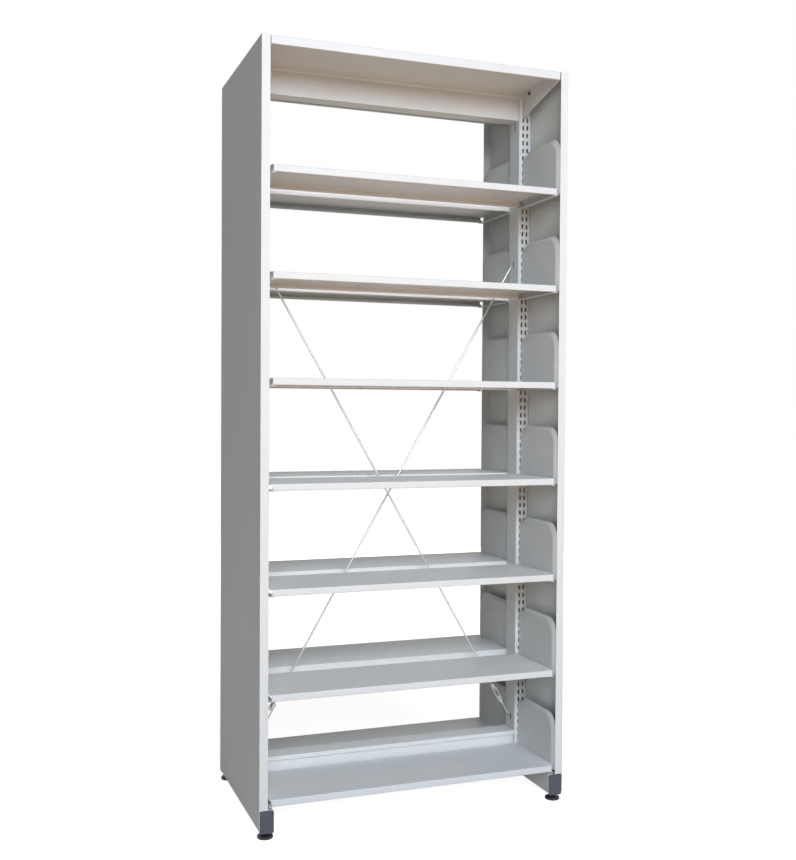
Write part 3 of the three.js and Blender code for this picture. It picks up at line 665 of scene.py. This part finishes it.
screw_head = turned_skin("screw", SCREW_PROFILE, SCREW_SIDES)
screw_head.transform(Matrix.Rotation(-math.pi / 2, 4, "Y"))
screw_right = finished(screw_head, shade_darkened_screw_steel)
screw_left = mirrored(screw_right)
for side, (hand, other_hand, turned) in SIDES.items():
    for sign, name, mesh in ((1, hand, screw_right), (-1, other_hand, screw_left)):
        at = (sign * (slot_x - GUSSET_SHEET / 2), shelf_high.y - SCREW_FROM_POST, canopy_high.z - SCREW_BELOW_TOP)
        add_piece(f"{side}_{name}_gusset_screw", mesh, at=at, turned=turned)
print("screw:", len(screw_right.polygons), "faces")

# %% [markdown]
# ## Cross brace
#
# Two rods cross behind the shelves and pull the frame square. Each hooks into a slot high on one post and ends in a
# turnbuckle low at the other, from which a short hook runs into the post. A rod is a circle swept along a bent line.
# Its last centimetres are threaded: there the radius follows a saw-tooth that climbs with the angle, which is what a
# thread is.

# %% Sweep a rod
ROD_SIDES = 16
ROD_LEAD, ROD_HOOK_DROP, ROD_HOOK_BEND, ROD_LEAD_BEND = 9, 14, 4, 6
TURNBUCKLE_LENGTH, TURNBUCKLE_FROM_POST, TURNBUCKLE_NUT, THREAD_REACH = 72, 49, 13, 12
THREAD_PITCH, THREAD_DEPTH, THREAD_LENGTH = 1.5, 0.5, 34
THREAD_ROWS = 6  # rings of points for each turn of the thread
HOOK_BEND_STEPS, LEAD_BEND_STEPS = 5, 6

brace_top = Vector((ROD_LEAD - post_low.x, BRACE_TOP))
brace_end = Vector((post_low.x - ROD_LEAD, BRACE_BOTTOM))
brace_along = (brace_end - brace_top).normalized()


def from_brace_end(distance):
    return brace_end - brace_along * distance


def rod_line(side, height, tip_turn, corner, along, end):
    """(x, z) points from the hooked tip behind the post wall, out through the tie slot and along the brace."""
    tip_x = side * (post_low.x + TUBE_WALL + SEAM + ROD_RADIUS)
    hooked = rounded_line([(tip_x, height + tip_turn * ROD_HOOK_DROP), (tip_x, height),
                           (corner.x + side * ROD_LEAD_BEND, height)], ROD_HOOK_BEND, HOOK_BEND_STEPS)
    bent = rounded_line([(corner.x + side * ROD_LEAD_BEND, height), corner, end], ROD_LEAD_BEND - SEAM,
                        LEAD_BEND_STEPS)
    start = bent[-1] - (bent[-1] - bent[-2]).normalized() * THREAD_LENGTH
    rows = int(THREAD_LENGTH / THREAD_PITCH * THREAD_ROWS)
    return hooked + bent[1:-1], [start.lerp(end, row / rows) for row in range(rows + 1)]


def rod_skin(name, plain, threaded):
    points, line = [], plain + threaded
    for i, place in enumerate(line):
        ahead = (line[min(i + 1, len(line) - 1)] - line[max(i - 1, 0)]).normalized()
        across = Vector((-ahead.y, ahead.x))
        for side in range(ROD_SIDES):
            turn = side / ROD_SIDES
            climb = ((i - len(plain)) / THREAD_ROWS - turn) % 1
            cut = THREAD_DEPTH * abs(2 * climb - 1) if i >= len(plain) else 0
            radius = ROD_RADIUS - cut
            flat = place + across * radius * math.cos(2 * math.pi * turn)
            points.append((flat.x, -ROD_OFFSET + radius * math.sin(2 * math.pi * turn), flat.y))
    faces = [[i * ROD_SIDES + j, i * ROD_SIDES + (j + 1) % ROD_SIDES, (i + 1) * ROD_SIDES + (j + 1) % ROD_SIDES,
              (i + 1) * ROD_SIDES + j] for i in range(len(line) - 1) for j in range(ROD_SIDES)]
    last = len(points) - ROD_SIDES
    faces += [list(range(ROD_SIDES))[::-1], list(range(last, len(points)))]
    return skin(name, points, faces)


inner_end = TURNBUCKLE_FROM_POST + TURNBUCKLE_NUT + THREAD_REACH
outer_end = TURNBUCKLE_FROM_POST + TURNBUCKLE_LENGTH - TURNBUCKLE_NUT - THREAD_REACH
rod = finished(rod_skin("brace_rod", *rod_line(-1, BRACE_TOP, -1, brace_top, brace_along, from_brace_end(outer_end))),
               zinc_plate)
hook_rod = finished(rod_skin("brace_hook", *rod_line(1, BRACE_BOTTOM, 1, brace_end, -brace_along,
                                                     from_brace_end(inner_end))), zinc_plate)
print("rod:", len(rod.polygons), "faces, short hook:", len(hook_rod.polygons), "faces")

# %% [markdown]
# The turnbuckle is a forged open body: two threaded bosses held apart by two bars. Separate solids overlap where they
# meet, so they are melted into one skin by a voxel Remesh, and a little smoothing rounds the joints as a forging is.

# %% Forge the turnbuckle
BOSS_RADIUS, BAR_RADIUS, BAR_AT = 8.4, 2.4, 6.5
BOSS_SIDES, BAR_SIDES = 24, 16
FORGE_VOXEL, FORGE_SMOOTHING = 0.55, {"factor": 0.5, "iterations": 2}


def turnbuckle_skin():
    half = TURNBUCKLE_LENGTH / 2
    shape = bmesh.new()
    for sign in (-1, 1):
        middle = sign * (half - TURNBUCKLE_NUT / 2)
        boss = bmesh.ops.create_cone(shape, segments=BOSS_SIDES, cap_ends=True, radius1=BOSS_RADIUS,
                                     radius2=BOSS_RADIUS, depth=TURNBUCKLE_NUT)["verts"]
        bmesh.ops.translate(shape, verts=boss, vec=(0, 0, middle))
        bar = bmesh.ops.create_cone(shape, segments=BAR_SIDES, cap_ends=True, radius1=BAR_RADIUS,
                                    radius2=BAR_RADIUS, depth=TURNBUCKLE_LENGTH - TURNBUCKLE_NUT)["verts"]
        bmesh.ops.translate(shape, verts=bar, vec=(sign * BAR_AT, 0, 0))
    for vert in shape.verts:
        vert.co *= MM
    mesh = bpy.data.meshes.new("turnbuckle")
    shape.to_mesh(mesh)
    shape.free()
    return mesh


turnbuckle = finished(turnbuckle_skin(), zinc_plate, ("REMESH", {"mode": "VOXEL", "voxel_size": FORGE_VOXEL * MM}),
                      ("SMOOTH", FORGE_SMOOTHING))
print("turnbuckle:", len(turnbuckle.polygons), "faces")

# %% Fit the brace
middle = from_brace_end(TURNBUCKLE_FROM_POST + TURNBUCKLE_LENGTH / 2)
lean = Matrix.Rotation(math.atan2(brace_along.x, brace_along.y), 4, "Y")
for side, (hand, other_hand, turned) in SIDES.items():
    add_piece(f"{other_hand}_brace_rod_threaded", rod, turned=turned,
              stands_for=[f"{other_hand}_top_brace_rod"])
    add_piece(f"{hand}_brace_hook_threaded", hook_rod, turned=turned, stands_for=[f"{hand}_brace_hook"])
    node = f"{hand}_turnbuckle"
    piece = add_piece(f"{node}_forged", turnbuckle, body=node, at=(middle.x, -ROD_OFFSET, middle.y),
                      turned=turned, stands_for=[node])
    piece.matrix_world = piece.matrix_world @ lean
print("brace leans", round(math.degrees(math.atan2(brace_along.x, -brace_along.y)), 1), "degrees")

# %% [markdown]
# ## Leg caps
#
# Each leg ends in a moulded cap: a head that hangs a little below the leg, and a hollow plug that grips its wall. A
# moulding has one outline at every depth, so the cap is a row of rounded rectangles, from the front of the head to the
# bottom of the plug, joined one to the next.

# %% Mould the leg caps
CAP_HEAD, CAP_CORNER, CAP_WALL, PLUG_CORNER, CAP_STEPS = 5, 4.5, 2.5, 1, 5
CAP_EDGE = [(1.2, 0), (0.65, 0.13), (0.22, 0.5), (0, 1.15), (0, CAP_HEAD)]  # inset of the outline, and way back

cap_low, cap_high = box_mm("right_front_leg_cap")


def cap_skin():
    half = (cap_high.x - cap_low.x) / 2

    def ring(inset, back, corner, bottom):
        outline = rounded_ring((inset - half, bottom + inset), (half - inset, leg_top - inset), corner, steps=CAP_STEPS)
        return [(x, cap_low.y + back, z) for x, z in outline]

    plug, bore, depth = TUBE_WALL + SEAM, TUBE_WALL + SEAM + CAP_WALL, cap_high.y - cap_low.y
    rings = [ring(inset, back, CAP_CORNER - inset, cap_low.z) for inset, back in CAP_EDGE]
    rings += [ring(inset, back, PLUG_CORNER, post_low.z)
              for inset, back in ((plug, CAP_HEAD), (plug, depth), (bore, depth), (bore, CAP_HEAD))]
    count = len(rings[0])
    faces = [[k * count + i, k * count + (i + 1) % count, (k + 1) * count + (i + 1) % count, (k + 1) * count + i]
             for k in range(len(rings) - 1) for i in range(count)]
    faces += [list(range(count)), list(range((len(rings) - 1) * count, len(rings) * count))]
    return skin("leg_cap", [point for ring_points in rings for point in ring_points], faces)


cap = finished(cap_skin(), grey_polypropylene)
for side, (hand, other_hand, turned) in SIDES.items():
    for sign, name in ((1, hand), (-1, other_hand)):
        node = f"{name}_{side}_leg_cap"
        add_piece(f"{node}_moulded", cap, at=(sign * (cap_low.x + cap_high.x) / 2, 0, 0), turned=turned,
                  stands_for=[node])
print("cap:", len(cap.polygons), "faces")

# %% [markdown]
# ## Panels and beams
#
# These nodes already have the real shape, so they stay. Folded sheet has no knife edges: Weld joins the points that the
# file format splits, and Bevel then breaks the edges a little, so that they catch the light.

# %% Finish the nodes that stay
KEPT = {"side_panel": 0.4, "beam": 0.8}  # how far the edges are broken
WELD_MM = 0.01

for name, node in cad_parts.items():
    for ending, edge in KEPT.items():
        if name.endswith(ending):
            node.data.materials.clear()
            node.data.materials.append(powder_coat)
            node.modifiers.new("weld", "WELD").merge_threshold = WELD_MM * MM
            broken = node.modifiers.new("edges", "BEVEL")
            for setting, value in deburr(edge)[1].items():
                setattr(broken, setting, value)
shown = [name for name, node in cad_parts.items() if not node.hide_render]
print(len(shown), "nodes stay:", ", ".join(sorted(shown)))

# %% [markdown]
# ## Floor and light
#
# The photograph is a cut-out on white with a soft frontal light: front faces are nearly white, the left side and
# everything inside the bay fall to mid grey, shelf tops are cool and undersides a little warm. The floor and the world
# are white only to the camera and in reflections; what they send to the object is set apart from that, so the paint
# keeps its own level. Light Path tells those rays apart.

# %% Floor
def seen_directly(tree):
    """1 for a ray from the camera or from a mirror or glass, 0 for a ray that gathers light."""
    path = add_node(tree, "ShaderNodeLightPath")
    seen = add_node(tree, "ShaderNodeMath", {"operation": "MAXIMUM"},
                    {0: path.outputs["Is Camera Ray"], 1: path.outputs["Is Glossy Ray"]})
    seen = add_node(tree, "ShaderNodeMath", {"operation": "MAXIMUM"},
                    {0: seen.outputs[0], 1: path.outputs["Is Transmission Ray"]})
    return seen.outputs[0]


FLOOR_SIZE = 60
SHADOW_NEAR, SHADOW_FAR = 0.8, 2.6  # metres from the middle; the floor's lift grows to full white between them
FLOOR_LIFT = 0.88

floor_mesh = bpy.data.meshes.new("floor")
half = FLOOR_SIZE / 2
floor_mesh.from_pydata([(-half, -half, 0), (half, -half, 0), (half, half, 0), (-half, half, 0)], [], [[0, 1, 2, 3]])
floor = bpy.data.objects.new("floor", floor_mesh)
bpy.context.collection.objects.link(floor)
floor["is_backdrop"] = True

white_floor, tree = new_material("white_floor")
seen = seen_directly(tree)
place = add_node(tree, "ShaderNodeTexCoord").outputs["Object"]
away = add_node(tree, "ShaderNodeVectorMath", {"operation": "LENGTH"}, {0: place})
fade = add_node(tree, "ShaderNodeMapRange", {
    "interpolation_type": "SMOOTHSTEP", "From Min": SHADOW_NEAR, "From Max": SHADOW_FAR, "To Min": FLOOR_LIFT,
    "To Max": 1.0}, {"Value": away.outputs["Value"]})
lift = add_node(tree, "ShaderNodeMath", {"operation": "MULTIPLY"}, {0: seen, 1: fade.outputs["Result"]})
matt = add_node(tree, "ShaderNodeBsdfDiffuse", {"Color": linear("#CFC8BE")})
glow = add_node(tree, "ShaderNodeEmission", {"Color": (1, 1, 1, 1)}, {"Strength": lift.outputs[0]})
both = add_node(tree, "ShaderNodeAddShader", links={0: matt.outputs[0], 1: glow.outputs[0]})
add_node(tree, "ShaderNodeOutputMaterial", links={"Surface": both.outputs[0]})
floor_mesh.materials.append(white_floor)
print("floor", FLOOR_SIZE, "m square")

# %% [markdown]
# The key is one large cool softbox, high in front, as a window or a studio lamp would be. A warm light that lies on the
# floor in front stands for what a warm floor throws back under the shelves, and a weak one lies behind. A soft fill
# from the right rear keeps the back of the bay readable. The world adds only a trace of even light.

# %% World and lamps
WORLD_LIGHT = 0.055
LAMPS = {  # place, target and size in metres, then watts and colour
    "front_softbox": ((-0.35, -6.6, 3.8), (0, 0, 0.7), (5.4, 3.0), 540, "#EDF4FF"),
    "floor_bounce": ((0.1, -2.8, 0.02), (0.1, -2.8, 1.0), (3.0, 1.6), 43, "#FFBE7C"),
    "rear_floor_bounce": ((-0.1, 2.6, 0.02), (-0.1, 2.6, 1.0), (3.0, 1.6), 4, "#FFBE7C"),
    "rear_softbox": ((2.6, 5.6, 1.3), (0, 0, 1.15), (3.0, 2.0), 80, "#FFE9D2"),
}

world = bpy.data.worlds.new("studio")
world.use_nodes = True
bpy.context.scene.world = world
tree = world.node_tree
tree.nodes.clear()
seen = seen_directly(tree)
room = add_node(tree, "ShaderNodeBackground", {"Color": linear("#DCDBDA"), "Strength": WORLD_LIGHT})
white = add_node(tree, "ShaderNodeBackground", {"Color": (1, 1, 1, 1), "Strength": 1.0})
both = add_node(tree, "ShaderNodeMixShader", links={0: seen, 1: room.outputs[0], 2: white.outputs[0]})
add_node(tree, "ShaderNodeOutputWorld", links={"Surface": both.outputs[0]})


def add_softbox(name, at, target, size, power, colour):
    lamp = bpy.data.lights.new(name, "AREA")
    lamp.shape, lamp.size, lamp.size_y = "RECTANGLE", *size
    lamp.energy, lamp.color = power, linear(colour)[:3]
    softbox = bpy.data.objects.new(name, lamp)
    softbox.location = at
    softbox.rotation_euler = (Vector(target) - Vector(at)).to_track_quat("-Z", "Y").to_euler()
    softbox.visible_camera = False
    bpy.context.collection.objects.link(softbox)
    return softbox


lamps = {name: add_softbox(name, *settings) for name, settings in LAMPS.items()}
lamps["rear_softbox"].visible_glossy = False  # its mirror image would lie on the shelf tops
bpy.context.scene.view_settings.view_transform = "Standard"
print("lamps:", ", ".join(lamps))

# %% [markdown]
# ## Size
#
# Last comes the size: the bounds of the dressed object are measured.

# %% Measure the dressed object
low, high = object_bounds()
